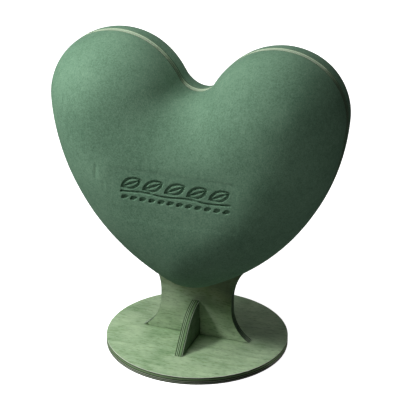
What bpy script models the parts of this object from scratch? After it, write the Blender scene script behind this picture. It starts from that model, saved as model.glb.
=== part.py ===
"""A heart of green floral foam on a plywood stand.

Two moulded foam halves are glued to the faces of a heart-shaped plywood core board. The board runs
down into a neck with two flared feet, and crosses a low plywood fin on a half-lap joint. Four
countersunk screws come up through a round plywood base disc into the feet of both.

Frame: metres, +Z up. The origin is the centre of the disc's underside. The core board lies in the
XZ plane, the cross fin lies in the YZ plane, and the front foam half faces -Y.
"""

import math

import bmesh
import bpy
from mathutils import Vector

MM = 0.001

# Plywood
PLY = 9.0 * MM  # thickness of all three boards
GAP = 0.3 * MM  # clearance between pieces that touch
ON_AXIS = 0.001 * MM  # a point nearer the axis than this is on it
DISC_RADIUS = 105.0 * MM
DISC_EDGE_BREAK = 0.5 * MM  # sanded corner of the disc's rim

# Heart outline in the XZ plane: six tangent arcs on each side
LOBE_X = 93.5 * MM  # the top of a lobe
LOBE_TOP_Z = 364.5 * MM
CROWN_RADIUS = 78.0 * MM  # the arc over the top of a lobe
CROWN_IN = 33.0  # degrees that the crown turns from its top towards the notch
CROWN_OUT = 27.5  # degrees that it turns towards the side
FLANK_RADIUS = 90.0 * MM  # from the crown down into the notch
CHEEK_RADIUS = 71.0 * MM  # from the crown round to the side
SIDE_RADIUS = 241.5 * MM  # the long arc from a cheek down to the tip
TIP_Z = 133.5 * MM  # centre of the arc that rounds the tip
TIP_RADIUS = 57.0 * MM
NOTCH_RADIUS = 24.0 * MM  # the hollow arc between the lobes

# Neck and feet of the core board
NECK_HALF_WIDTH = 43.0 * MM
SHOULDER_RADIUS = 59.0 * MM  # hollow arc that blends the neck into the heart's side
ANKLE_Z = 48.0 * MM  # the neck starts to widen towards the feet here
FOOT_RADIUS = 45.0 * MM

# Cross fin: a low arch with straight sides that run out to its two feet
FIN_RADIUS = 53.2 * MM  # its arch is centred on the disc's underside
FIN_REACH = 62.0 * MM  # from the centre to the tip of a foot

# Foam halves
FOAM_DEPTH = 72.0 * MM  # from the board's face to the fullest point
FOAM_ROUNDING = 77.5 * MM  # distance in from the outline where the full depth is reached
FOAM_CENTRE_Z = 222.0 * MM  # every ring of the foam's mesh closes in on this height
FOAM_RINGS = 13

# Glue beads, laid in a groove in each foam half's flat back
GROOVE_DEPTH = 1.5 * MM
BEAD_SCALE = (0.56, 0.60)  # inner and outer edge, as a share of the outline's size
BEAD_SCALE_GAP = 0.005

# Screws, 3.5 mm by 30 mm, countersunk
SCREW_CIRCLE_RADIUS = 36.0 * MM
SCREW_SINK = 0.5 * MM  # the head sits this far above the underside
SCREW_LENGTH = 28.0 * MM
SCREW_HEAD_RADIUS = 3.5 * MM
SCREW_HEAD_HEIGHT = 2.4 * MM
SCREW_CORE_RADIUS = 1.3 * MM
SCREW_THREAD_RADIUS = 1.75 * MM
SCREW_THREAD_PITCH = 2.0 * MM
SCREW_POINT = 3.0 * MM
RECESS_WIDTH = 0.9 * MM
RECESS_SPAN = 3.8 * MM
RECESS_DEPTH = 1.4 * MM
RECESS_TAPER = 0.6  # width at the recess's floor, as a share of its mouth
THREAD_CREST = 0.4  # place of a thread's crest, as a share of the pitch

# Mesh fineness
DISC_SEGMENTS = 128
SCREW_SEGMENTS = 12
HOLE_SEGMENTS = 24
NOTCH_STEPS = 6
LOBE_STEPS = 7  # on each of a lobe's three arcs
SIDE_STEPS = 12
TIP_STEPS = 8
BEND_STEPS = 9  # on the shoulder and on the foot
ARCH_STEPS = 10  # on each side of the cross fin's arch
SMOOTH_UNDER = 30.0  # degrees; a sharper edge on a round piece stays an edge
FOAM_SMOOTH_UNDER = 40.0

# Roughness
FOAM_ROUGHNESS = 0.95
PLY_ROUGHNESS = 0.7
SMOOTH_ROUGHNESS = 0.35  # glue and zinc

# Colours, linear RGB
FOAM_GREEN = (0.095, 0.215, 0.135)
PLY_GREEN = (0.30, 0.44, 0.27)
GLUE_AMBER = (0.62, 0.52, 0.30)
ZINC = (0.62, 0.62, 0.60)


# ---------------------------------------------------------------- small tools


def clear_scene():
    for old in list(bpy.data.objects):
        bpy.data.objects.remove(old, do_unlink=True)


def material(name, colour, roughness, metallic=0.0):
    made = bpy.data.materials.new(name)
    made.use_nodes = True
    shader = made.node_tree.nodes["Principled BSDF"]
    shader.inputs["Base Color"].default_value = (*colour, 1.0)
    shader.inputs["Roughness"].default_value = roughness
    shader.inputs["Metallic"].default_value = metallic
    return made


def add_object(name, bm, colour, roughness, metallic=0.0):
    """Turn a bmesh into an object with outward faces and its own material."""
    bmesh.ops.recalc_face_normals(bm, faces=bm.faces)
    mesh = bpy.data.meshes.new(name)
    bm.to_mesh(mesh)
    bm.free()
    made = bpy.data.objects.new(name, mesh)
    bpy.context.scene.collection.objects.link(made)
    made.data.materials.append(material(name, colour, roughness, metallic))
    return made


def shade_round(piece, crease_degrees=SMOOTH_UNDER):
    piece.data.shade_smooth()
    piece.data.set_sharp_from_angle(angle=math.radians(crease_degrees))


def stitch_rings(bm, rings, closed=False):
    """Join rings of equal length with quads; a closed loft also joins the last ring to the first."""
    pairs = list(zip(rings, rings[1:]))
    if closed:
        pairs.append((rings[-1], rings[0]))
    for lower, upper in pairs:
        count = len(lower)
        for i in range(count):
            j = (i + 1) % count
            bm.faces.new((lower[i], lower[j], upper[j], upper[i]))


def cap_ring(bm, ring, centre):
    """Close a ring with a fan of triangles around a centre point."""
    hub = bm.verts.new(centre)
    for i in range(len(ring)):
        bm.faces.new((ring[i], ring[(i + 1) % len(ring)], hub))


def turned(name, profile, segments, colour, roughness, metallic=0.0):
    """A solid of revolution about Z; the profile's first and last points lie on the axis."""
    bm = bmesh.new()
    rings = []
    for radius, z in profile[1:-1]:
        turns = [2.0 * math.pi * i / segments for i in range(segments)]
        rings.append([bm.verts.new((radius * math.cos(t), radius * math.sin(t), z)) for t in turns])
    stitch_rings(bm, rings)
    cap_ring(bm, rings[0], (0.0, 0.0, profile[0][1]))
    cap_ring(bm, rings[-1], (0.0, 0.0, profile[-1][1]))
    return add_object(name, bm, colour, roughness, metallic)


def board(name, outline, to_space, colour, roughness):
    """A flat board PLY thick: the outline's 2-D points go through to_space(u, v, across)."""
    bm = bmesh.new()
    face = bm.faces.new([bm.verts.new(to_space(u, v, -PLY / 2)) for u, v in outline])
    grown = bmesh.ops.extrude_face_region(bm, geom=[face])
    across = Vector(to_space(0.0, 0.0, PLY)) - Vector(to_space(0.0, 0.0, 0.0))
    new_points = [item for item in grown["geom"] if isinstance(item, bmesh.types.BMVert)]
    bmesh.ops.translate(bm, verts=new_points, vec=across)
    return add_object(name, bm, colour, roughness)


def as_cutter(piece):
    piece.hide_render = True
    piece.display_type = "WIRE"
    return piece


def cut(piece, cutter):
    boolean = piece.modifiers.new("cut_" + cutter.name, "BOOLEAN")
    boolean.operation = "DIFFERENCE"
    boolean.solver = "EXACT"
    boolean.object = cutter


# ---------------------------------------------------------------- outlines


def direction(turn):
    return Vector((math.cos(turn), math.sin(turn)))


def meeting_point(centre_a, radius_a, centre_b, radius_b):
    """Where two circles cross, on the left of the line from the first centre to the second."""
    along = centre_b - centre_a
    span = along.length
    along = along / span
    reach = (radius_a**2 - radius_b**2 + span**2) / (2.0 * span)
    rise = math.sqrt(radius_a**2 - reach**2)
    return centre_a + reach * along + rise * Vector((-along.y, along.x))


def bearing(centre, point):
    return math.atan2(point.y - centre.y, point.x - centre.x)


def arc(centre, radius, start, end, steps):
    """Points on an arc from angle start to angle end, both ends included."""
    turns = [start + (end - start) * i / steps for i in range(steps + 1)]
    return [(centre.x + radius * math.cos(t), centre.y + radius * math.sin(t)) for t in turns]


def heart_arcs():
    """The right half's arcs from the notch to the tip: (centre, radius, start, end, steps) in (x, z)."""
    crown = Vector((LOBE_X, LOBE_TOP_Z - CROWN_RADIUS))
    crown_start = math.radians(90.0 + CROWN_IN)
    crown_end = math.radians(90.0 - CROWN_OUT)
    flank = crown + (CROWN_RADIUS - FLANK_RADIUS) * direction(crown_start)
    cheek = crown + (CROWN_RADIUS - CHEEK_RADIUS) * direction(crown_end)
    tip = Vector((0.0, TIP_Z))
    side = meeting_point(tip, SIDE_RADIUS - TIP_RADIUS, cheek, SIDE_RADIUS - CHEEK_RADIUS)
    notch_rise = math.sqrt((FLANK_RADIUS + NOTCH_RADIUS) ** 2 - flank.x**2)
    notch = Vector((0.0, flank.y + notch_rise))
    return [
        (notch, NOTCH_RADIUS, -math.pi / 2, bearing(notch, flank), NOTCH_STEPS),
        (flank, FLANK_RADIUS, bearing(flank, notch), crown_start, LOBE_STEPS),
        (crown, CROWN_RADIUS, crown_start, crown_end, LOBE_STEPS),
        (cheek, CHEEK_RADIUS, crown_end, bearing(side, cheek), LOBE_STEPS),
        (side, SIDE_RADIUS, bearing(side, cheek), bearing(side, tip), SIDE_STEPS),
        (tip, TIP_RADIUS, bearing(side, tip), -math.pi / 2, TIP_STEPS),
    ]


def chained(arcs):
    """The points along arcs that meet end to end, each shared end taken once."""
    points = arc(*arcs[0])
    for following in arcs[1:]:
        points += arc(*following)[1:]
    return points


def mirrored(right_half):
    """A closed outline from its right half, whose first and last points may lie on the axis."""
    off_axis = [(x, z) for x, z in right_half if x > ON_AXIS]
    return list(right_half) + [(-x, z) for x, z in reversed(off_axis)]


def heart_outline():
    return mirrored(chained(heart_arcs()))


def core_board_outline():
    """The heart, then shoulder, neck, foot, and the slot that straddles the cross fin."""
    *lobe_arcs, side_arc, _ = heart_arcs()
    side, side_radius, side_start, _, side_steps = side_arc
    shoulder_x = NECK_HALF_WIDTH + SHOULDER_RADIUS
    drop = math.sqrt((side_radius + SHOULDER_RADIUS) ** 2 - (shoulder_x - side.x) ** 2)
    shoulder = Vector((shoulder_x, side.y - drop))
    ankle = Vector((NECK_HALF_WIDTH + FOOT_RADIUS, ANKLE_Z))
    sole = PLY + GAP
    toe_turn = math.pi + math.asin((ANKLE_Z - sole) / FOOT_RADIUS)
    points = chained(
        [
            *lobe_arcs,
            (side, side_radius, side_start, bearing(side, shoulder), side_steps),
            (shoulder, SHOULDER_RADIUS, bearing(shoulder, side), math.pi, BEND_STEPS),
        ]
    )
    points += arc(ankle, FOOT_RADIUS, math.pi, toe_turn, BEND_STEPS)
    slot = PLY / 2 + GAP
    points += [(slot, sole), (slot, lap_height() + GAP / 2)]
    return mirrored(points)


def lap_height():
    """The two slots of the half-lap joint meet half-way up the cross fin."""
    return (PLY + FIN_RADIUS) / 2


def cross_fin_outline():
    """Half-lap slot from above, arch, and the straight sides that are tangent to the arch."""
    centre = Vector((0.0, 0.0))
    sole = PLY + GAP
    reach = math.hypot(FIN_REACH, sole)
    tangent = math.atan2(sole, FIN_REACH) + math.acos(FIN_RADIUS / reach)
    slot = PLY / 2 + GAP
    arch_start = math.acos(slot / FIN_RADIUS)
    points = [(slot, lap_height() - GAP / 2)]
    points += arc(centre, FIN_RADIUS, arch_start, tangent, ARCH_STEPS)
    points += [(FIN_REACH, sole)]
    return mirrored(points)


# ---------------------------------------------------------------- foam


def within_arc(centre, start, end, point):
    middle = (start + end) / 2
    off = bearing(centre, point) - middle
    off = (off + math.pi) % (2.0 * math.pi) - math.pi
    return abs(off) <= abs(end - start) / 2 + 1e-6


def outline_distance(x, z):
    """How far a point inside the heart is from its outline."""
    point = Vector((abs(x), z))
    return min(
        abs((point - centre).length - radius)
        for centre, radius, start, end, _ in heart_arcs()
        if within_arc(centre, start, end, point)
    )


def foam_height(x, z):
    """Height of the foam over the board's face: a quarter ellipse in from the outline, then flat."""
    short = max(0.0, 1.0 - outline_distance(x, z) / FOAM_ROUNDING)
    return FOAM_DEPTH * math.sqrt(1.0 - short**2)


def scaled_ring(bm, outline, scale, height, facing):
    """The heart outline drawn in to its centre; height(x, z) gives each point's place off the board."""
    ring = []
    for x, z in outline:
        new_x = x * scale
        new_z = FOAM_CENTRE_Z + (z - FOAM_CENTRE_Z) * scale
        ring.append(bm.verts.new((new_x, facing * (PLY / 2 + height(new_x, new_z)), new_z)))
    return ring


def foam_half(name, facing):
    """A crowned half with a flat back; facing is -1 for the front and +1 for the rear."""
    bm = bmesh.new()
    outline = heart_outline()
    inner, outer = BEAD_SCALE[0] - BEAD_SCALE_GAP, BEAD_SCALE[1] + BEAD_SCALE_GAP
    back = [(inner, GAP), (inner, GAP + GROOVE_DEPTH), (outer, GAP + GROOVE_DEPTH), (outer, GAP), (1.0, GAP)]
    rings = [scaled_ring(bm, outline, scale, lambda x, z, y=y: y, facing) for scale, y in back]
    for i in range(1, FOAM_RINGS):
        scale = 1.0 - (i / FOAM_RINGS) ** 2
        rings.append(scaled_ring(bm, outline, scale, foam_height, facing))
    stitch_rings(bm, rings)
    cap_ring(bm, rings[0], (0.0, facing * (PLY / 2 + GAP), FOAM_CENTRE_Z))
    crown = PLY / 2 + foam_height(0.0, FOAM_CENTRE_Z)
    cap_ring(bm, rings[-1], (0.0, facing * crown, FOAM_CENTRE_Z))
    foam = add_object(name, bm, FOAM_GREEN, FOAM_ROUGHNESS)
    shade_round(foam, FOAM_SMOOTH_UNDER)
    return foam


def glue_bead(name, facing):
    """A flattened bead of hot-melt glue that follows the heart, between the board and the foam."""
    bm = bmesh.new()
    outline = heart_outline()
    inner, outer = BEAD_SCALE
    section = [(inner, GAP), (outer, GAP), (outer, GROOVE_DEPTH), (inner, GROOVE_DEPTH)]
    rings = [scaled_ring(bm, outline, scale, lambda x, z, y=y: y, facing) for scale, y in section]
    stitch_rings(bm, rings, closed=True)
    return add_object(name, bm, GLUE_AMBER, SMOOTH_ROUGHNESS)


# ---------------------------------------------------------------- screws


def screw_profile():
    """A countersunk screw, head down, as (radius, height): head, threaded shank and point."""
    points = [(0.0, 0.0), (SCREW_HEAD_RADIUS, 0.0), (SCREW_CORE_RADIUS, SCREW_HEAD_HEIGHT)]
    thread_end = SCREW_LENGTH - SCREW_POINT
    z = SCREW_HEAD_HEIGHT + SCREW_THREAD_PITCH
    while z + SCREW_THREAD_PITCH <= thread_end:
        points.append((SCREW_CORE_RADIUS, z))
        points.append((SCREW_THREAD_RADIUS, z + SCREW_THREAD_PITCH * THREAD_CREST))
        z += SCREW_THREAD_PITCH
    points += [(SCREW_CORE_RADIUS, thread_end), (0.0, SCREW_LENGTH)]
    return points


def hole_profile():
    """The countersink and pilot hole that a screw sits in, with clearance all round."""
    head = SCREW_HEAD_RADIUS + GAP
    pilot = SCREW_THREAD_RADIUS + GAP
    below = -1.0 * MM
    cone_top = SCREW_HEAD_HEIGHT * (head - pilot) / (SCREW_HEAD_RADIUS - SCREW_CORE_RADIUS)
    return [
        (0.0, below),
        (head, below),
        (head, 0.0),
        (pilot, cone_top),
        (pilot, SCREW_LENGTH + GAP),
        (0.0, SCREW_LENGTH + GAP),
    ]


def cross_recess(name):
    """Cutter for the cross recess in a screw's head."""
    bm = bmesh.new()
    arm, half = RECESS_SPAN / 2, RECESS_WIDTH / 2
    plus = [(arm, half), (half, half), (half, arm)]
    outline = []
    for quarter in range(4):
        for x, y in plus:
            for _ in range(quarter):
                x, y = -y, x
            outline.append((x, y))
    rings = []
    for z, scale in ((-MM, 1.0), (RECESS_DEPTH, RECESS_TAPER)):
        rings.append([bm.verts.new((x * scale, y * scale, z)) for x, y in outline])
    stitch_rings(bm, rings)
    cap_ring(bm, rings[0], (0.0, 0.0, -MM))
    cap_ring(bm, rings[1], (0.0, 0.0, RECESS_DEPTH))
    return as_cutter(add_object(name, bm, ZINC, SMOOTH_ROUGHNESS))


def screw(number, x, y):
    name = f"base_screw_{number}"
    made = turned(name, screw_profile(), SCREW_SEGMENTS, ZINC, SMOOTH_ROUGHNESS, 1.0)
    recess = cross_recess(f"recess_cutter_{number}")
    for piece in (made, recess):
        piece.location = (x, y, SCREW_SINK)
    cut(made, recess)
    return made


def screw_hole(number, x, y):
    hole = turned(f"hole_cutter_{number}", hole_profile(), HOLE_SEGMENTS, ZINC, SMOOTH_ROUGHNESS)
    hole.location = (x, y, SCREW_SINK)
    return as_cutter(hole)


# ---------------------------------------------------------------- plywood pieces


def base_disc():
    rim = DISC_RADIUS
    low, high = DISC_EDGE_BREAK, PLY - DISC_EDGE_BREAK
    profile = [(0.0, 0.0), (rim - low, 0.0), (rim, low), (rim, high), (rim - low, PLY), (0.0, PLY)]
    disc = turned("base_disc", profile, DISC_SEGMENTS, PLY_GREEN, PLY_ROUGHNESS)
    shade_round(disc)
    return disc


def core_board():
    return board("core_board", core_board_outline(), lambda u, v, w: (u, w, v), PLY_GREEN, PLY_ROUGHNESS)


def cross_fin():
    return board("cross_fin", cross_fin_outline(), lambda u, v, w: (w, u, v), PLY_GREEN, PLY_ROUGHNESS)


def build():
    clear_scene()
    disc = base_disc()
    core = core_board()
    fin = cross_fin()
    foot_of = {0: core, 1: fin, 2: core, 3: fin}
    for quarter, foot in foot_of.items():
        x = SCREW_CIRCLE_RADIUS * math.cos(quarter * math.pi / 2)
        y = SCREW_CIRCLE_RADIUS * math.sin(quarter * math.pi / 2)
        hole = screw_hole(quarter + 1, x, y)
        cut(disc, hole)
        cut(foot, hole)
        screw(quarter + 1, x, y)
    for name, facing in (("front", -1.0), ("rear", 1.0)):
        foam_half(name + "_foam", facing)
        glue_bead(name + "_glue_bead", facing)


build()
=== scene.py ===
import math

import bmesh
import bpy
import numpy as np
from mathutils import Matrix, Vector, noise
from mathutils.geometry import delaunay_2d_cdt


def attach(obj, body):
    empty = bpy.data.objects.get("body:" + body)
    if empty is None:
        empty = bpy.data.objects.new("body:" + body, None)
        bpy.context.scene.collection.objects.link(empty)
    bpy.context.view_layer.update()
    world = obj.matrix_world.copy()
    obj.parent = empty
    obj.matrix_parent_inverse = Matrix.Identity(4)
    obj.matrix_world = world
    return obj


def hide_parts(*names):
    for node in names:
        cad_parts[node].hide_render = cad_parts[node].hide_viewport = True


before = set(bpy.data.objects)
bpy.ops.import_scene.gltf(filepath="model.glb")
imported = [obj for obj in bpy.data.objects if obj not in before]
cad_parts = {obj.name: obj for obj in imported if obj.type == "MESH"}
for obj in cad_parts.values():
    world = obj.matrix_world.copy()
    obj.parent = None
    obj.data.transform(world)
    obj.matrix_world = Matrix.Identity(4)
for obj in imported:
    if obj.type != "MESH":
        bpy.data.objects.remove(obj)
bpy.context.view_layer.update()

# Looks for the floral foam heart on its plywood stand, in a plain studio.
#
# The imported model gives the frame. The two foam halves and the three boards are rebuilt here as finer
# meshes, from the same arcs as the CAD solids. The screws and the glue keep their CAD meshes and get
# better materials.

MM = 0.001

# Sizes shared with the CAD solids: the boards
PLY = 9.0 * MM  # thickness of every board
GAP = 0.3 * MM  # clearance between pieces that touch
DISC_RADIUS = 105.0 * MM
NECK_HALF_WIDTH = 43.0 * MM
SHOULDER_RADIUS = 59.0 * MM  # hollow arc that blends the neck into the heart's side
ANKLE_Z = 48.0 * MM  # the neck starts to widen towards the feet here
FOOT_RADIUS = 45.0 * MM
FIN_RADIUS = 53.2 * MM
FIN_REACH = 62.0 * MM

# The heart's outline in the XZ plane: six tangent arcs on each side
LOBE_X = 93.5 * MM
LOBE_TOP_Z = 364.5 * MM
CROWN_RADIUS = 78.0 * MM
CROWN_IN = 33.0  # degrees that the crown turns from its top towards the notch
CROWN_OUT = 27.5  # degrees that it turns towards the side
FLANK_RADIUS = 90.0 * MM
CHEEK_RADIUS = 71.0 * MM
SIDE_RADIUS = 241.5 * MM
TIP_Z = 133.5 * MM
TIP_RADIUS = 57.0 * MM
NOTCH_RADIUS = 24.0 * MM

# The foam halves and the groove for the glue in their flat backs
FOAM_DEPTH = 72.0 * MM
FOAM_ROUNDING = 77.5 * MM  # distance in from the outline where the full depth is reached
FOAM_CENTRE_Z = 222.0 * MM  # the groove's two edges shrink towards this height
GROOVE_DEPTH = 1.5 * MM
GROOVE_SCALE = (0.555, 0.605)  # its inner and outer edge, as a share of the outline's size

# The screw holes
SCREW_CIRCLE_RADIUS = 36.0 * MM
SCREW_SINK = 0.5 * MM
SCREW_LENGTH = 28.0 * MM
HEAD_HOLE_RADIUS = 3.8 * MM
PILOT_HOLE_RADIUS = 2.05 * MM
COUNTERSINK = 1.9 * MM
HOLE_SEGMENTS = 32
HOLE_TURN = 0.3  # of one segment, which keeps the holes' corners off the glue lines

# Fineness of the outlines and the boards
OUTLINE_STEP = 2.4 * MM
DISC_SEGMENTS = 256
ON_AXIS = MM / 1000.0  # a point nearer the middle than this is on it
ANGLE_TOLERANCE = 1e-6  # radians; a point this little beyond an arc's end still counts as on it
MERGE_DISTANCE = 1e-7  # points nearer than this are one when the crown is triangulated
SHORTEST_MITRE = 0.35  # limits how far a sharp corner moves when an outline is drawn in
BOARD_CREASE = 35.0  # degrees; an edge sharper than this stays sharp

# Plywood detail
GLUE_LINES = (0.10, 0.31, 0.52, 0.88)  # where the plies meet, as shares of the thickness
GLUE_LINE = 0.16 * MM  # half the width of the groove between two plies
GLUE_LINE_DEPTH = 0.12 * MM
GLUE_STAIN = 0.040  # half the width of the dark line between two plies, as a share of the thickness
GLUE_BLEED = 0.075  # half its width with the soft border
WORN_FROM = 0.965  # the top of the edge is worn pale from here, as a share of the thickness
ARRIS = 0.35 * MM  # sanded edge between a board's face and its side

SHADE_TOP_Z = 90.0 * MM  # the painted shade on the upright is deepest here, under the foam
SHADE_SLANT = 0.35  # how much the painted shade's border leans, lower to the right
SPOT_INSET = 3.0 * MM  # the dark spot's middle, in from the tip of the toe
SPOT_RISE = 2.0 * MM  # and up from the disc
SPOT_REACH = 20.0 * MM  # the spot fades out at a little under half of this
SPOT_RAGGED = 9.0 * MM  # noise pulls its border in by up to this much

# Foam detail
RING_INSET = 30.0 * MM  # the foam's mesh runs in rings this far in, then in a grid
RING_COUNT = 30
RIM_HEIGHT = 2.0 * GAP  # least height of the skin over the board's face, beside the seam
GRID_STEP = 1.8 * MM
GRID_MARGIN = 0.6 * GRID_STEP  # the grid stays this far inside the last ring
MARK_STEP = 0.5 * MM  # of the finer grid under the pressed sprig
CREASE_SOFTNESS = 9.0 * MM  # radius of the circle that the height is averaged over
CREASE_LIMIT = 0.4  # the radius is at most this share of the distance to the outline
CREASE_SAMPLES = 12
FOAM_CREASE = 50.0  # degrees; an edge sharper than this stays sharp
SKIN_NOISE = 0.16 * MM
SKIN_GRAIN = 160.0  # frequency of the skin's fine unevenness, per metre
SKIN_WAVES = 28.0  # and of its broad unevenness
SKIN_FADE = 20.0 * MM  # the skin is smoother near the seam, below this height

# The pressed leaf sprig, in the plane of the front face
MARK_CENTRE = (1.5 * MM, 216.5 * MM)
MARK_HALF = (66.0 * MM, 20.0 * MM)
MARK_DEPTH = 2.6 * MM
MARK_EDGE = 0.8 * MM  # the pressed wall slopes over this width
LEAF_COUNT = 5
LEAF_PITCH = 25.2 * MM
LEAF_LENGTH = 27.0 * MM
LEAF_WIDTH = 13.5 * MM
LEAF_STROKE = 2.8 * MM
LEAF_TILT = 0.45  # radians
LEAF_RISE = 3.2 * MM  # from the mark's centre up to the leaves
RIB_LENGTH = 0.80 * LEAF_LENGTH
STEM_DROP = 6.6 * MM  # from the mark's centre down to the stem
STEM_WAVE = 0.8 * MM
STEM_HALF_LENGTH = 2.45 * LEAF_PITCH
STEM_HALF_WIDTH = 0.45 * LEAF_STROKE
SEED_COUNT = 12
SEED_PITCH = 10.6 * MM
SEED_LENGTH = 8.6 * MM
SEED_WIDTH = 5.0 * MM
SEED_DROP = 13.8 * MM  # from the mark's centre down to the seeds

# The faint rectangle that the stamp's plate left round the sprig
STAMP_CENTRE = (-3.0 * MM, 206.0 * MM)
STAMP_HALF = (74.5 * MM, 30.0 * MM)
STAMP_CORNER = 6.0 * MM
STAMP_DEPTH = 0.35 * MM
STAMP_EDGE = 1.6 * MM

# Two thumbnail dents left of the sprig: (middle, length, width, tilt in radians)
DENTS = (
    ((-91.0 * MM, 228.0 * MM), 24.0 * MM, 3.0 * MM, 1.45),
    ((-82.0 * MM, 214.0 * MM), 12.0 * MM, 2.0 * MM, 1.70),
)
DENT_DEPTH = 1.0 * MM
DENT_EDGE = 2.4 * MM

# Camera, as a direction in degrees and a distance from a point over the origin
CAMERA_AZIMUTH = 20.11
CAMERA_ELEVATION = 23.89
CAMERA_ROLL = 0.37
CAMERA_DISTANCE = 1.7746
CAMERA_AIM_Z = 0.210
CAMERA_SIDESTEP = 0.0022
CAMERA_RISE = -0.03065
CAMERA_LENS = 144.0  # in millimetres, as is the sensor's width
CAMERA_SENSOR = 36.0
CAMERA_FARTHEST = 50.0

# Lights round the heart, aimed at the same point over the origin:
# (azimuth and elevation in degrees, distance, size, watts)
LIGHTS = (
    (307.0, 36.0, 0.78, 0.18, 3.60),  # the key light, from the front left
    (300.0, 60.0, 0.75, 0.30, 0.50),
    (290.0, 60.0, 1.50, 0.60, 4.2),
    (335.0, 60.0, 1.50, 0.60, 4.6),
    (20.0, 60.0, 1.50, 0.60, 0.9),
    (155.0, 60.0, 1.50, 0.60, 0.4),
    (180.0, 76.0, 0.40, 0.20, 0.20),  # close over the rear of the lobes
    (190.0, 8.0, 1.50, 0.60, 3.6),
)
# Patches that shine up from the floor, as a lit table would: (x, y, watts)
FLOOR_PATCHES = (
    (-1.0, -0.2, 6.8),
    (-0.4, -0.2, 0.30),
    (-0.4, -0.8, 3.1),
    (0.4, -0.2, 0.25),
    (0.4, -0.8, 1.0),
    (1.0, -0.2, 1.6),
)
FLOOR_PATCH_SIZE = 0.60
FLOOR_PATCH_Z = 2.0 * MM
FLOOR_HALF_SIZE = 12.0
FLOOR_DROP = 0.2 * MM  # the floor lies this far below the disc


# ---------------------------------------------------------------- outlines, as in the CAD


def direction(turn):
    """The unit vector at an angle in radians from the first axis."""
    return Vector((math.cos(turn), math.sin(turn)))


def bearing(centre, point):
    """The angle in radians at which a point lies from a centre."""
    return math.atan2(point.y - centre.y, point.x - centre.x)


def meeting_point(centre_a, radius_a, centre_b, radius_b):
    """Where two circles cross, on the left of the line from the first centre to the second."""
    along = centre_b - centre_a
    span = along.length
    along = along / span
    reach = (radius_a**2 - radius_b**2 + span**2) / (2.0 * span)
    rise = math.sqrt(radius_a**2 - reach**2)
    return centre_a + reach * along + rise * Vector((-along.y, along.x))


def heart_arcs():
    """The right half's arcs from the notch to the tip: (centre, radius, start, end) in (x, z)."""
    crown = Vector((LOBE_X, LOBE_TOP_Z - CROWN_RADIUS))
    crown_start = math.radians(90.0 + CROWN_IN)
    crown_end = math.radians(90.0 - CROWN_OUT)
    flank = crown + (CROWN_RADIUS - FLANK_RADIUS) * direction(crown_start)
    cheek = crown + (CROWN_RADIUS - CHEEK_RADIUS) * direction(crown_end)
    tip = Vector((0.0, TIP_Z))
    side = meeting_point(tip, SIDE_RADIUS - TIP_RADIUS, cheek, SIDE_RADIUS - CHEEK_RADIUS)
    notch_rise = math.sqrt((FLANK_RADIUS + NOTCH_RADIUS) ** 2 - flank.x**2)
    notch = Vector((0.0, flank.y + notch_rise))
    return [
        (notch, NOTCH_RADIUS, -math.pi / 2, bearing(notch, flank)),
        (flank, FLANK_RADIUS, bearing(flank, notch), crown_start),
        (crown, CROWN_RADIUS, crown_start, crown_end),
        (cheek, CHEEK_RADIUS, crown_end, bearing(side, cheek)),
        (side, SIDE_RADIUS, bearing(side, cheek), bearing(side, tip)),
        (tip, TIP_RADIUS, bearing(side, tip), -math.pi / 2),
    ]


def arc_points(arc, growth):
    """Points along an arc whose radius grows; they are as many as on the arc before it grew."""
    centre, radius, start, end = arc
    count = max(2, math.ceil(abs(end - start) * radius / OUTLINE_STEP))
    turns = [start + (end - start) * i / count for i in range(count + 1)]
    return [tuple(centre + (radius + growth) * direction(t)) for t in turns]


def chained(arcs):
    """Points along arcs that meet end to end, each shared end taken once."""
    points = []
    for arc in arcs:
        found = arc_points(arc, 0.0)
        points += found[1:] if points else found
    return points


def mirrored(right_half):
    """A whole outline from its right half; points on the middle line are taken once."""
    off_axis = [(x, z) for x, z in right_half if x > ON_AXIS]
    return list(right_half) + [(-x, z) for x, z in reversed(off_axis)]


def heart_ring(inset):
    """The heart's outline drawn in by an inset; every ring has the same number of points."""
    hollow_arc, *full_arcs = heart_arcs()
    points = arc_points(hollow_arc, inset)
    for arc in full_arcs:
        points += arc_points(arc, -inset)[1:]
    return mirrored(points)


def lap_height():
    """Where the slots of the upright and the fin meet, half way up the fin."""
    return (PLY + FIN_RADIUS) / 2


def toe_reach():
    """How far the upright's toes reach from the middle."""
    return NECK_HALF_WIDTH + FOOT_RADIUS - math.sqrt(FOOT_RADIUS**2 - (ANKLE_Z - PLY - GAP) ** 2)


def core_board_outline():
    """The upright in (x, z): the heart without its tip, the neck, two feet and the slot."""
    *lobe_arcs, side_arc, _ = heart_arcs()
    side, side_radius, side_start, _ = side_arc
    shoulder_x = NECK_HALF_WIDTH + SHOULDER_RADIUS
    drop = math.sqrt((side_radius + SHOULDER_RADIUS) ** 2 - (shoulder_x - side.x) ** 2)
    shoulder = Vector((shoulder_x, side.y - drop))
    ankle = Vector((NECK_HALF_WIDTH + FOOT_RADIUS, ANKLE_Z))
    sole = PLY + GAP
    toe_turn = math.pi + math.asin((ANKLE_Z - sole) / FOOT_RADIUS)
    points = chained(
        [
            *lobe_arcs,
            (side, side_radius, side_start, bearing(side, shoulder)),
            (shoulder, SHOULDER_RADIUS, bearing(shoulder, side), math.pi),
        ]
    )
    points += chained([(ankle, FOOT_RADIUS, math.pi, toe_turn)])
    slot = PLY / 2 + GAP
    points += [(slot, sole), (slot, lap_height() + GAP / 2)]
    return mirrored(points)


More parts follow.
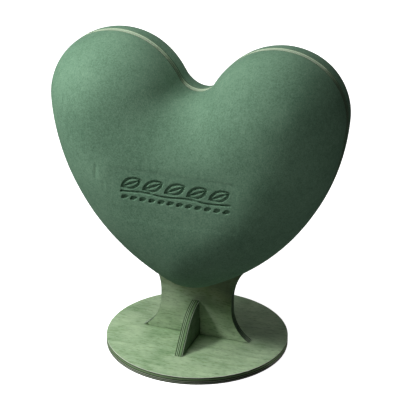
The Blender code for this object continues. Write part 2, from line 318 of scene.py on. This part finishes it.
def cross_fin_outline():
    """The fin in (y, z): a low round hump with a slot in its top and straight sides to its feet."""
    sole = PLY + GAP
    reach = math.hypot(FIN_REACH, sole)
    tangent = math.atan2(sole, FIN_REACH) + math.acos(FIN_RADIUS / reach)
    slot = PLY / 2 + GAP
    arch_start = math.acos(slot / FIN_RADIUS)
    points = [(slot, lap_height() - GAP / 2)]
    points += chained([(Vector((0.0, 0.0)), FIN_RADIUS, arch_start, tangent)])
    points += [(FIN_REACH, sole)]
    return mirrored(points)


# ---------------------------------------------------------------- mesh helpers


def linked(name, data):
    """A new object of a mesh, a light or a camera, linked into the scene."""
    made = bpy.data.objects.new(name, data)
    bpy.context.scene.collection.objects.link(made)
    return made


def meshed(name, bm):
    """Turns the mesh that is being built into an object, with its faces pointing outwards."""
    bmesh.ops.recalc_face_normals(bm, faces=bm.faces)
    mesh = bpy.data.meshes.new(name)
    bm.to_mesh(mesh)
    bm.free()
    return linked(name, mesh)


def new_piece(name, bm, materials, replaced):
    """Makes the object with its materials, puts it on the root body and hides the CAD part that it
    replaces.
    """
    piece = meshed(name, bm)
    for shader in materials:
        piece.data.materials.append(shader.material)
    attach(piece, "root")
    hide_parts(replaced)
    return piece


def stitch(bm, rings, material_index=0):
    """Faces between each ring of vertices and the next."""
    for lower, upper in zip(rings, rings[1:]):
        for i in range(len(lower)):
            j = (i + 1) % len(lower)
            face = bm.faces.new((lower[i], lower[j], upper[j], upper[i]))
            face.material_index = material_index


def capped(bm, rings, material_index=0):
    """Faces between the rings, and one over each end."""
    bm.faces.new(rings[0])
    bm.faces.new(rings[-1])
    stitch(bm, rings, material_index)


def shade_round(piece, crease_degrees):
    """Smooth shading, apart from edges sharper than the crease."""
    piece.data.shade_smooth()
    piece.data.set_sharp_from_angle(angle=math.radians(crease_degrees))


# ---------------------------------------------------------------- foam


def outline_distance(x, z):
    """How far points inside the heart are from its outline, as an array."""
    found = np.full(len(x), np.inf)
    for centre, radius, start, end in heart_arcs():
        across, up = np.abs(x) - centre.x, z - centre.y
        off = np.arctan2(up, across) - (start + end) / 2
        off = (off + math.pi) % (2.0 * math.pi) - math.pi
        near = np.abs(off) <= abs(end - start) / 2 + ANGLE_TOLERANCE
        found = np.where(near, np.minimum(found, np.abs(np.hypot(across, up) - radius)), found)
    return found


def crowned(distance):
    """Height over the board's face at a distance in from the outline, a quarter of an ellipse."""
    short = np.clip(1.0 - distance / FOAM_ROUNDING, 0.0, 1.0)
    return FOAM_DEPTH * np.sqrt(1.0 - short**2)


def foam_height(x, z):
    """Height over the board's face, averaged over a small circle so that the ridges are soft."""
    reach = np.minimum(CREASE_SOFTNESS, CREASE_LIMIT * outline_distance(x, z))
    total = np.zeros(len(x))
    turns = np.linspace(0.0, 2.0 * math.pi, CREASE_SAMPLES, endpoint=False)
    for turn in turns:
        total += crowned(outline_distance(x + reach * np.cos(turn), z + reach * np.sin(turn)))
    return total / len(turns)


def leaf_distance(x, z, middle, length, width, tilt):
    """Signed distance to a pointed leaf, the overlap of two circles; negative inside."""
    radius = (length**2 + width**2) / (4.0 * width)
    across = (x - middle[0]) * math.cos(tilt) + (z - middle[1]) * math.sin(tilt)
    up = -(x - middle[0]) * math.sin(tilt) + (z - middle[1]) * math.cos(tilt)
    return np.hypot(across, np.abs(up) + radius - width / 2) - radius


def pressed(distance, depth, edge):
    """Depth of a pressing whose wall slopes over an edge width round its outline."""
    share = np.clip(0.5 - distance / edge, 0.0, 1.0)
    return depth * share * share * (3.0 - 2.0 * share)


def row(count, pitch, z):
    """Evenly spaced places at one height, centred on the mark."""
    return [(MARK_CENTRE[0] + (i - (count - 1) / 2) * pitch, z) for i in range(count)]


def sprig_distance(x, z):
    """Outlined leaves, each with a midrib, in a row on a wavy stem, over a row of small seeds."""
    cx, cz = MARK_CENTRE
    wave = cz - STEM_DROP + STEM_WAVE * np.sin((x - cx) / LEAF_PITCH * math.pi)
    beyond = np.maximum(np.abs(x - cx) - STEM_HALF_LENGTH, 0.0)
    found = np.hypot(z - wave, beyond) - STEM_HALF_WIDTH
    for middle in row(LEAF_COUNT, LEAF_PITCH, cz + LEAF_RISE):
        leaf = leaf_distance(x, z, middle, LEAF_LENGTH, LEAF_WIDTH, LEAF_TILT)
        rib = leaf_distance(x, z, middle, RIB_LENGTH, LEAF_STROKE, LEAF_TILT)
        ring = np.abs(leaf + LEAF_STROKE / 2) - LEAF_STROKE / 2
        found = np.minimum(found, np.minimum(ring, rib))
    for middle in row(SEED_COUNT, SEED_PITCH, cz - SEED_DROP):
        found = np.minimum(found, leaf_distance(x, z, middle, SEED_LENGTH, SEED_WIDTH, LEAF_TILT))
    return found


def stamp_distance(x, z):
    """Signed distance to the rounded rectangle round the sprig."""
    across = np.abs(x - STAMP_CENTRE[0]) - STAMP_HALF[0] + STAMP_CORNER
    up = np.abs(z - STAMP_CENTRE[1]) - STAMP_HALF[1] + STAMP_CORNER
    outside = np.hypot(np.maximum(across, 0.0), np.maximum(up, 0.0))
    return outside + np.minimum(np.maximum(across, up), 0.0) - STAMP_CORNER


def dents(x, z):
    """How deep the thumbnail dents are."""
    found = np.zeros(len(x))
    for middle, length, width, tilt in DENTS:
        found += pressed(leaf_distance(x, z, middle, length, width, tilt), DENT_DEPTH, DENT_EDGE)
    return found


def front_height(x, z):
    """The front half's height, with everything that is pressed into it."""
    sprig = pressed(sprig_distance(x, z), MARK_DEPTH, MARK_EDGE)
    stamp = pressed(stamp_distance(x, z), STAMP_DEPTH, STAMP_EDGE)
    return foam_height(x, z) - sprig - stamp - dents(x, z)


def grid_points(low, high, step):
    """The x and the z of every point of a grid between two corners."""
    across = np.arange(low[0], high[0], step)
    up = np.arange(low[1], high[1], step)
    x, z = np.meshgrid(across, up)
    return x.ravel(), z.ravel()


def in_mark(x, z, margin):
    """Whether points are in the sprig's rectangle, or within a margin of it."""
    near_x = np.abs(x - MARK_CENTRE[0]) < MARK_HALF[0] + margin
    near_z = np.abs(z - MARK_CENTRE[1]) < MARK_HALF[1] + margin
    return near_x & near_z


def inner_points(marked):
    """Grid points inside the last ring, with a finer grid where the sprig is pressed."""
    half_width = LOBE_X + CHEEK_RADIUS
    x, z = grid_points((-half_width, TIP_Z - TIP_RADIUS), (half_width, LOBE_TOP_Z), GRID_STEP)
    inside = outline_distance(x, z) > RING_INSET + GRID_MARGIN
    inside &= heart_contains(x, z)
    if marked:
        inside &= ~in_mark(x, z, GRID_STEP / 2)
    x, z = x[inside], z[inside]
    if marked:
        low = [c - h for c, h in zip(MARK_CENTRE, MARK_HALF)]
        high = [c + h for c, h in zip(MARK_CENTRE, MARK_HALF)]
        fine_x, fine_z = grid_points(low, high, MARK_STEP)
        x, z = np.concatenate([x, fine_x]), np.concatenate([z, fine_z])
    return x, z


def heart_contains(x, z):
    """Whether points are inside the heart, by counting the outline's crossings to the right."""
    outline = heart_ring(0.0)
    inside = np.zeros(len(x), bool)
    for (x0, z0), (x1, z1) in zip(outline, outline[1:] + outline[:1]):
        crosses = (z0 > z) != (z1 > z)
        if z0 != z1:
            inside ^= crosses & (x < (x1 - x0) * (z - z0) / (z1 - z0) + x0)
    return inside


def roughen(point, seed):
    """A slight unevenness in the moulded skin, as a distance."""
    fine = Vector(point) * SKIN_GRAIN + Vector((seed, 0.0, 0.0))
    broad = Vector(point) * SKIN_WAVES + Vector((0.0, seed, 0.0))
    return SKIN_NOISE * (noise.noise(fine) + 1.6 * noise.noise(broad))


def foam_half(name, facing, height, material, seed):
    """A closed half: flat back with the glue groove, rings over the rounding, a grid over the crown.

    facing is -1 for the front and 1 for the rear; height is a function of x and z.
    """
    bm = bmesh.new()
    rings = foam_back(bm, facing)
    bm.faces.new(rings[0])
    most = math.acos(1.0 - RING_INSET / FOAM_ROUNDING)
    for i in range(1, RING_COUNT + 1):
        inset = FOAM_ROUNDING * (1.0 - math.cos(most * i / RING_COUNT))
        rings.append(raised(bm, heart_ring(inset), facing, height, seed))
    stitch(bm, rings)
    crown = list(zip(*inner_points(height is front_height)))
    crown_verts = raised(bm, crown, facing, height, seed)
    fill(bm, rings[-1] + crown_verts, heart_ring(RING_INSET), crown)
    piece = new_piece(name + "_shell", bm, [material], name)
    shade_round(piece, FOAM_CREASE)


def foam_back(bm, facing):
    """Rings of vertices over the flat back, from inside the groove out to the outline."""
    back = GAP + PLY / 2
    groove = back + GROOVE_DEPTH
    inner, outer = GROOVE_SCALE
    rings = []
    for scale, place in ((inner, back), (inner, groove), (outer, groove), (outer, back), (1.0, back)):
        ring = []
        for x, z in heart_ring(0.0):
            scaled_z = FOAM_CENTRE_Z + (z - FOAM_CENTRE_Z) * scale
            ring.append(bm.verts.new((x * scale, facing * place, scaled_z)))
        rings.append(ring)
    return rings


def raised(bm, points, facing, height, seed):
    """Vertices over these (x, z) points, at the foam's height and slightly uneven."""
    x = np.array([p[0] for p in points])
    z = np.array([p[1] for p in points])
    made = []
    for px, pz, rise in zip(x, z, height(x, z)):
        place = PLY / 2 + max(rise, RIM_HEIGHT)
        place = place + min(1.0, rise / SKIN_FADE) * roughen((px, facing * place, pz), seed)
        made.append(bm.verts.new((px, facing * place, pz)))
    return made


def fill(bm, verts, border, inside):
    """Triangles over a border of points and the points inside it; verts are all of them in order."""
    flat = [Vector(p) for p in border] + [Vector(p) for p in inside]
    loop = [(i, (i + 1) % len(border)) for i in range(len(border))]
    inside_the_loop = 1
    found = delaunay_2d_cdt(flat, loop, [], inside_the_loop, MERGE_DISTANCE)
    _, _, triangles, origins, _, _ = found
    for corners in triangles:
        bm.faces.new([verts[origins[c][0]] for c in corners])


# ---------------------------------------------------------------- plywood


def edge_profile():
    """(place across the board, inset) pairs: sanded arrises and a fine groove at each glue line."""
    half = PLY / 2
    profile = [(-half, ARRIS), (ARRIS - half, 0.0)]
    for share in GLUE_LINES:
        line = -half + PLY * share
        profile += [(line - GLUE_LINE, 0.0), (line, GLUE_LINE_DEPTH), (line + GLUE_LINE, 0.0)]
    profile += [(half - ARRIS, 0.0), (half, ARRIS)]
    return profile


def drawn_in(outline, inset):
    """The outline moved in by an inset at every point, along the mean of its neighbours' normals."""
    points = [Vector(p) for p in outline]
    moved = []
    for i, here in enumerate(points):
        before = (here - points[i - 1]).normalized()
        after = (points[(i + 1) % len(points)] - here).normalized()
        normal = Vector((before.y + after.y, -before.x - after.x))
        normal = normal / max(normal.length_squared / 2, SHORTEST_MITRE)
        moved.append(here + inset * normal)
    return moved


def ply_board(name, outline, to_space, materials, quarters):
    """A flat board with layered edges and screw holes at some quarters of the screw circle.

    Its faces take the first material and its edges the second. to_space turns a place in the outline
    and a place across the board into a point.
    """
    bm = bmesh.new()
    rings = []
    for across, inset in edge_profile():
        ring = drawn_in(outline, inset)
        rings.append([bm.verts.new(to_space(p.x, p.y, across)) for p in ring])
    capped(bm, rings, material_index=1)
    piece = new_piece(name + "_boards", bm, materials, name)
    drill(piece, quarters)


def circle(bm, middle, radius, z, segments, turn):
    """A level ring of vertices; turn is the share of a segment that it starts at."""
    turns = [2.0 * math.pi * (i + turn) / segments for i in range(segments)]
    points = [(middle.x + radius * math.cos(t), middle.y + radius * math.sin(t), z) for t in turns]
    return [bm.verts.new(p) for p in points]


def round_base(materials):
    """The base disc, with layered rim and four countersunk holes in its underside."""
    bm = bmesh.new()
    middle = Vector((0.0, 0.0))
    rings = [
        circle(bm, middle, DISC_RADIUS - inset, PLY / 2 + across, DISC_SEGMENTS, 0.0)
        for across, inset in edge_profile()
    ]
    capped(bm, rings, material_index=1)
    piece = new_piece("base_disc_boards", bm, materials, "base_disc")
    drill(piece, range(4))


def drill(piece, quarters):
    """Cuts the countersunk screw holes at these quarters of the screw circle, and keeps the result."""
    for quarter in quarters:
        bit = drill_bit(SCREW_CIRCLE_RADIUS * direction(quarter * math.pi / 2))
        hole = piece.modifiers.new("hole", "BOOLEAN")
        hole.operation = "DIFFERENCE"
        hole.object = bit
        graph = bpy.context.evaluated_depsgraph_get()
        piece.data = bpy.data.meshes.new_from_object(piece.evaluated_get(graph))
        piece.modifiers.clear()
        bpy.data.objects.remove(bit)
    shade_round(piece, BOARD_CREASE)


def drill_bit(middle):
    """A cutter for one hole: the head's pocket, a countersink, and the pilot hole."""
    bm = bmesh.new()
    profile = (
        (HEAD_HOLE_RADIUS, -MM),  # starts below the underside, for a clean cut
        (HEAD_HOLE_RADIUS, SCREW_SINK),
        (PILOT_HOLE_RADIUS, SCREW_SINK + COUNTERSINK),
        (PILOT_HOLE_RADIUS, SCREW_SINK + SCREW_LENGTH + GAP),
    )
    capped(bm, [circle(bm, middle, radius, z, HOLE_SEGMENTS, HOLE_TURN) for radius, z in profile])
    return meshed("drill", bm)


# ---------------------------------------------------------------- materials


class Shader:
    """Short-hand for building one material's nodes."""

    def __init__(self, name):
        self.material = bpy.data.materials.new(name)
        self.material.use_nodes = True
        self.tree = self.material.node_tree
        self.surface = self.tree.nodes["Principled BSDF"]

    def node(self, kind, settings=None, output=0, **inputs):
        """Adds a node and gives one of its outputs; a _ in an input's name stands for a space."""
        made = self.tree.nodes.new(kind)
        for key, value in (settings or {}).items():
            setattr(made, key, value)
        for key, value in inputs.items():
            self.feed(made.inputs[key.replace("_", " ")], value)
        return made.outputs[output]

    def feed(self, socket, value):
        """Links a socket to an output, or sets it to a value."""
        if isinstance(value, bpy.types.NodeSocket):
            self.tree.links.new(value, socket)
        else:
            socket.default_value = value

    def maths(self, operation, first, second=0.0):
        """Arithmetic on one or two values."""
        made = self.tree.nodes.new("ShaderNodeMath")
        made.operation = operation
        self.feed(made.inputs[0], first)
        self.feed(made.inputs[1], second)
        return made.outputs[0]

    def place(self, scale=(1.0, 1.0, 1.0), turn=(0.0, 0.0, 0.0)):
        """Object coordinates, stretched and turned."""
        where = self.node("ShaderNodeTexCoord", output="Object")
        return self.node("ShaderNodeMapping", Vector=where, Scale=scale, Rotation=turn)

    def noise(self, where, scale, detail=2.0, roughness=0.5, distortion=0.0):
        """Soft noise from 0 to 1."""
        return self.node(
            "ShaderNodeTexNoise",
            output="Fac",
            Vector=where,
            Scale=scale,
            Detail=detail,
            Roughness=roughness,
            Distortion=distortion,
        )

    def ramp(self, value, *stops):
        """A colour ramp; each stop is (place, (r, g, b))."""
        made = self.tree.nodes.new("ShaderNodeValToRGB")
        elements = made.color_ramp.elements
        while len(elements) < len(stops):
            elements.new(0.5)
        for element, (place, colour) in zip(elements, stops):
            element.position = place
            element.color = (*colour, 1.0)
        self.feed(made.inputs[0], value)
        return made.outputs[0]

    def multiply(self, share, first, second):
        """The first colour, multiplied by the second to the extent of the share."""
        made = self.tree.nodes.new("ShaderNodeMix")
        made.data_type = "RGBA"
        made.blend_type = "MULTIPLY"
        self.feed(made.inputs["Factor"], share)
        self.feed(made.inputs[6], first)
        self.feed(made.inputs[7], second)
        return made.outputs[2]

    def grained(self, along, share):
        """Object coordinates squeezed to a share along one axis, so that patterns run along it."""
        scale = [1.0, 1.0, 1.0]
        scale[along] = share
        return self.place(scale)

    def split(self, vector):
        """The three parts of a vector."""
        made = self.tree.nodes.new("ShaderNodeSeparateXYZ")
        self.feed(made.inputs[0], vector)
        return made.outputs

    def weighted(self, *terms):
        """The sum of (value, weight) pairs."""
        total = None
        for value, weight in terms:
            part = self.maths("MULTIPLY", value, weight)
            total = part if total is None else self.maths("ADD", total, part)
        return total

    def bump(self, height, strength, distance):
        """A surface direction that follows a height, which is scaled by a distance in metres."""
        return self.node("ShaderNodeBump", Height=height, Strength=strength, Distance=distance)

    def tint(self, share, colour):
        """Multiplies the base colour that is already linked."""
        base = self.surface.inputs["Base Color"]
        self.feed(base, self.multiply(share, base.links[0].from_socket, colour))


def foam_material():
    """Fine closed-cell foam: cloudy green, speckled at the size of its grains, with open pores."""
    s = Shader("moulded_floral_foam")
    where = s.place()
    cloud = s.noise(where, 17.0, 3.0)
    mottle = s.noise(where, 170.0, 3.0, 0.6)
    grain = s.noise(where, 560.0, 2.0, 0.7)
    cells = s.node("ShaderNodeTexVoronoi", output="Distance", Vector=where, Scale=820.0)
    blend = s.weighted((cloud, 0.30), (mottle, 0.22), (grain, 0.48))
    colour = s.ramp(
        blend,
        (0.36, (0.086, 0.176, 0.110)),
        (0.50, (0.128, 0.238, 0.154)),
        (0.64, (0.172, 0.300, 0.200)),
    )
    pores = s.ramp(cells, (0.08, (0.55, 0.58, 0.55)), (0.36, (1.0, 1.0, 1.0)))
    colour = s.multiply(0.8, colour, pores)
    s.feed(s.surface.inputs["Base Color"], colour)
    s.feed(s.surface.inputs["Roughness"], s.maths("ADD", 0.84, s.maths("MULTIPLY", grain, 0.15)))
    s.surface.inputs["Specular IOR Level"].default_value = 0.2
    height = s.weighted((grain, 0.6), (cells, 0.5))
    s.feed(s.surface.inputs["Normal"], s.bump(height, 0.6, 0.6 * MM))
    return s


def wood_face_material(name, along, dark, pale):
    """Green-stained face veneer, dark to pale; along is the axis, 0 to 2, that the grain runs along."""
    s = Shader(name)
    fibre = s.noise(s.grained(along, 0.14), 1100.0, 3.0, 0.65)
    fleck = s.noise(s.grained(along, 0.22), 640.0, 2.0, 0.6)
    streak = s.noise(s.grained(along, 0.16), 150.0, 3.0, 0.6, 0.4)
    blotch = s.noise(s.place(), 30.0, 4.0, 0.6)
    swell = s.noise(s.grained(along, 0.45), 15.0, 1.0, 0.4, 0.5)
    blend = s.weighted((streak, 0.30), (blotch, 0.52), (fibre, 0.18))
    middle = tuple((d + 1.6 * p) / 2.6 for d, p in zip(dark, pale))
    colour = s.ramp(blend, (0.38, dark), (0.50, middle), (0.60, pale))
    rings = s.ramp(
        s.maths("FRACT", s.maths("MULTIPLY", swell, 9.0)),
        (0.00, (0.66, 0.76, 0.62)),
        (0.22, (1.0, 1.0, 1.0)),
        (0.75, (0.97, 0.98, 0.96)),
        (1.00, (0.74, 0.82, 0.70)),
    )
    colour = s.multiply(0.50, colour, rings)
    flecks = s.ramp(fleck, (0.35, (0.46, 0.57, 0.42)), (0.45, (1.0, 1.0, 1.0)))
    colour = s.multiply(0.62, colour, flecks)
    s.surface.inputs["Specular IOR Level"].default_value = 0.3
    s.feed(s.surface.inputs["Base Color"], colour)
    s.feed(s.surface.inputs["Roughness"], s.maths("ADD", 0.60, s.maths("MULTIPLY", streak, 0.28)))
    height = s.weighted((fibre, 0.5), (fleck, 0.7), (streak, 0.4))
    s.feed(s.surface.inputs["Normal"], s.bump(height, 0.6, 0.3 * MM))
    return s


def core_face_material():
    """The upright board's face: painted shadow of the heart near the foam, painted light lower down, and
    a dark spot at one toe.
    """
    s = wood_face_material("core_board_face", 0, (0.30, 0.42, 0.25), (0.56, 0.70, 0.48))
    where = s.node("ShaderNodeTexCoord", output="Object")
    across, _, rise = s.split(where)
    # Painted shade and light: darkest under the foam and lower to the right, where the heart's shadow
    # falls, and lightened lower down.
    painted_shade = s.ramp(
        s.maths("DIVIDE", s.weighted((rise, 1.0), (across, SHADE_SLANT)), SHADE_TOP_Z),
        (0.10, (1.22, 1.20, 1.22)),
        (0.56, (1.0, 1.0, 1.0)),
        (0.80, (0.58, 0.56, 0.48)),
        (0.95, (0.26, 0.28, 0.23)),
    )
    s.tint(1.0, painted_shade)
    s.tint(0.9, dark_toe_spot(s, where))
    return s


def dark_toe_spot(s, where):
    """A ragged dark spot at the tip of the left toe."""
    away = s.node("ShaderNodeVectorMath", {"operation": "DISTANCE"}, output="Value")
    from_here, to_there = away.node.inputs[:2]
    s.feed(from_here, where)
    to_there.default_value = Vector((SPOT_INSET - toe_reach(), -PLY / 2, PLY + SPOT_RISE))
    ragged = s.weighted((away, 1.0), (s.noise(s.place(), 420.0, 3.0), SPOT_RAGGED))
    reach = s.maths("DIVIDE", ragged, SPOT_REACH)
    return s.ramp(reach, (0.34, (0.16, 0.20, 0.12)), (0.46, (1.0, 1.0, 1.0)))


def wood_edge_material(name, across, low, dark, pale):
    """A board's layered edge; across is the axis through its thickness and low its lowest place.

    Some plies show their fibres side on and stay pale. The thick one shows sawn end grain, soaked dark.
    """
    s = Shader(name)
    where = s.node("ShaderNodeTexCoord", output="Object")
    waver = s.maths("MULTIPLY", s.maths("SUBTRACT", s.noise(s.place(), 90.0), 0.5), 0.5 * MM)
    depth = s.maths("ADD", s.maths("SUBTRACT", s.split(where)[across], low), waver)
    line = tuple(0.20 * d for d in dark)
    paled = tuple(0.30 + 0.70 * p for p in pale)
    tones = (dark, pale, pale, dark, pale)
    stops = [(0.0, tones[0])]
    for share, below, above in zip(GLUE_LINES, tones, tones[1:]):
        stops += [(share - GLUE_BLEED, below), (share - GLUE_STAIN, line)]
        stops += [(share + GLUE_STAIN, line), (share + GLUE_BLEED, above)]
    stops[-1] = (WORN_FROM, paled)
    plies = s.ramp(s.maths("DIVIDE", depth, PLY), *stops)
    fibre = s.noise(s.place(), 1200.0, 2.0, 0.7)
    saw = s.noise(s.place((1.0, 1.0, 0.22), (0.7, 0.8, 0.5)), 400.0, 2.0, 0.6)
    tone = s.ramp(
        s.weighted((fibre, 0.75), (saw, 0.25)),
        (0.40, (0.74, 0.80, 0.70)),
        (0.58, (1.14, 1.12, 1.08)),
    )
    s.feed(s.surface.inputs["Base Color"], s.multiply(0.4, plies, tone))
    s.surface.inputs["Roughness"].default_value = 0.85
    s.surface.inputs["Specular IOR Level"].default_value = 0.2
    s.feed(s.surface.inputs["Normal"], s.bump(s.weighted((fibre, 0.8), (saw, 0.2)), 0.4, 0.2 * MM))
    return s


def core_edge_material():
    """The upright board's edge, with painted light where it faces up and painted shade where it faces
    sideways or down.
    """
    s = wood_edge_material("core_board_edge", 1, -PLY / 2, (0.58, 0.75, 0.53), (0.72, 0.88, 0.66))
    # Painted light and shade: the edge stays pale where its normal points up and is darkened elsewhere,
    # with a little noise.
    facing = s.split(s.node("ShaderNodeNewGeometry", output="Normal"))[2]
    paled = s.weighted((facing, 1.0), (s.noise(s.place(), 130.0, 3.0), 0.30))
    painted_top_light = s.ramp(paled, (0.72, (0.24, 0.30, 0.26)), (0.86, (0.46, 0.52, 0.46)), (1.00, (1.0, 1.0, 1.0)))
    s.tint(1.0, painted_top_light)
    return s


def glue_material():
    """Cloudy amber glue with a slight gloss."""
    s = Shader("hot_melt_glue")
    where = s.place()
    cloud = s.noise(where, 90.0, 2.0)
    colour = s.ramp(cloud, (0.35, (0.52, 0.42, 0.22)), (0.65, (0.70, 0.60, 0.38)))
    s.feed(s.surface.inputs["Base Color"], colour)
    s.feed(s.surface.inputs["Roughness"], s.maths("ADD", 0.25, s.maths("MULTIPLY", cloud, 0.2)))
    s.feed(s.surface.inputs["Normal"], s.bump(s.noise(where, 400.0), 0.3, 0.2 * MM))
    return s


def zinc_material():
    """Dull zinc plate, stained in patches."""
    s = Shader("zinc_plate")
    where = s.place()
    stain = s.noise(where, 600.0, 3.0)
    colour = s.ramp(stain, (0.35, (0.42, 0.43, 0.42)), (0.65, (0.68, 0.69, 0.68)))
    s.feed(s.surface.inputs["Base Color"], colour)
    s.surface.inputs["Metallic"].default_value = 1.0
    s.feed(s.surface.inputs["Roughness"], s.maths("ADD", 0.28, s.maths("MULTIPLY", stain, 0.25)))
    s.feed(s.surface.inputs["Normal"], s.bump(s.noise(where, 2500.0), 0.25, 0.05 * MM))
    return s


def floor_material():
    """Pale, and bright enough on its own to show as white."""
    s = Shader("pale_floor")
    s.surface.inputs["Base Color"].default_value = (0.9, 0.9, 0.9, 1.0)
    s.surface.inputs["Roughness"].default_value = 0.9
    s.surface.inputs["Emission Color"].default_value = (1.0, 1.0, 1.0, 1.0)
    s.surface.inputs["Emission Strength"].default_value = 1.0
    return s


# ---------------------------------------------------------------- stage, light and camera


def add_floor():
    """A large pale floor that the camera sees; it throws no light back up at the object."""
    bm = bmesh.new()
    bmesh.ops.create_grid(bm, x_segments=1, y_segments=1, size=FLOOR_HALF_SIZE)
    floor = meshed("floor", bm)
    floor.location.z = -FLOOR_DROP
    floor.data.materials.append(floor_material().material)
    floor.visible_diffuse = False
    floor.visible_glossy = False


def seen_from(azimuth, elevation):
    """The direction out to a place in the studio; azimuth 0 is straight in front, 90 on the right."""
    a, e = math.radians(azimuth), math.radians(elevation)
    return Vector((math.sin(a) * math.cos(e), -math.cos(a) * math.cos(e), math.sin(e)))


def add_lights():
    """The lights round the heart, then the lit patches of floor, which face up."""
    aim = Vector((0.0, 0.0, CAMERA_AIM_Z))
    for azimuth, elevation, distance, size, power in LIGHTS:
        out = seen_from(azimuth, elevation)
        add_light(aim + out * distance, out, size, power)
    for x, y, power in FLOOR_PATCHES:
        add_light(Vector((x, y, FLOOR_PATCH_Z)), Vector((0.0, 0.0, -1.0)), FLOOR_PATCH_SIZE, power)


def add_light(place, back, size, power):
    """One square light that shines away from its back, and that the camera doesn't see."""
    data = bpy.data.lights.new("soft_light", "AREA")
    data.shape = "SQUARE"
    data.size = size
    data.energy = power
    light = linked("soft_light", data)
    light.location = place
    light.rotation_euler = back.to_track_quat("Z", "Y").to_euler()
    light.visible_camera = False


def add_world():
    """A white surround that only the camera sees."""
    world = bpy.data.worlds.new("white_surround")
    world.use_nodes = True
    sky = world.node_tree.nodes["Background"]
    sky.inputs["Color"].default_value = (1.0, 1.0, 1.0, 1.0)
    sky.inputs["Strength"].default_value = 1.0
    world.cycles_visibility.diffuse = False
    world.cycles_visibility.glossy = False
    bpy.context.scene.world = world


def add_camera():
    """The photo's camera, to the right of the front and above, tilted a little."""
    back = seen_from(CAMERA_AZIMUTH, CAMERA_ELEVATION)
    right = seen_from(CAMERA_AZIMUTH + 90.0, 0.0)
    up = back.cross(right)
    place = Vector((0.0, 0.0, CAMERA_AIM_Z))
    place += back * CAMERA_DISTANCE + right * CAMERA_SIDESTEP + up * CAMERA_RISE
    roll = math.radians(CAMERA_ROLL)
    rolled_right = right * math.cos(roll) + up * math.sin(roll)
    rolled_up = up * math.cos(roll) - right * math.sin(roll)
    turn = Matrix((rolled_right, rolled_up, back)).transposed()
    data = bpy.data.cameras.new("camera")
    data.sensor_width = CAMERA_SENSOR
    data.lens = CAMERA_LENS
    data.clip_end = CAMERA_FARTHEST
    camera = linked("camera", data)
    camera.matrix_world = Matrix.Translation(place) @ turn.to_4x4()
    bpy.context.scene.camera = camera


# ---------------------------------------------------------------- the object


def give_material(names, shader):
    """Puts one material on pieces that keep their CAD meshes."""
    for name in names:
        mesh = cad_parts[name].data
        mesh.materials.clear()
        mesh.materials.append(shader.material)


def add_foam():
    """Both halves; only the front one has the sprig, and each has its own roughness."""
    foam = foam_material()
    foam_half("front_foam", -1.0, front_height, foam, seed=3.0)
    foam_half("rear_foam", 1.0, foam_height, foam, seed=17.0)


def add_core_board():
    """The upright, in the XZ plane; its face grain runs along X."""
    materials = [core_face_material(), core_edge_material()]
    ply_board("core_board", core_board_outline(), lambda u, v, w: (u, w, v), materials, (0, 2))


def add_cross_fin():
    """The fin, in the YZ plane; its face grain runs along Y."""
    # The fin's face colours are darkened as painted shade, for the shadow over its right face.
    face = wood_face_material("cross_fin_face", 1, (0.09, 0.14, 0.08), (0.17, 0.25, 0.15))
    edge = wood_edge_material("cross_fin_edge", 0, -PLY / 2, (0.20, 0.33, 0.16), (0.42, 0.60, 0.36))
    ply_board("cross_fin", cross_fin_outline(), lambda u, v, w: (w, u, v), [face, edge], (1, 3))


def add_base_disc():
    """The disc; its face grain runs along X."""
    face = wood_face_material("base_disc_face", 0, (0.31, 0.48, 0.26), (0.55, 0.73, 0.46))
    edge = wood_edge_material("base_disc_edge", 2, 0.0, (0.40, 0.60, 0.31), (0.82, 0.93, 0.72))
    round_base([face, edge])


bpy.context.scene.view_settings.view_transform = "Standard"
add_camera()
add_world()
add_floor()
add_lights()
add_foam()
add_core_board()
add_cross_fin()
add_base_disc()
give_material(["front_glue_bead", "rear_glue_bead"], glue_material())
give_material([f"base_screw_{number}" for number in range(1, 5)], zinc_material())
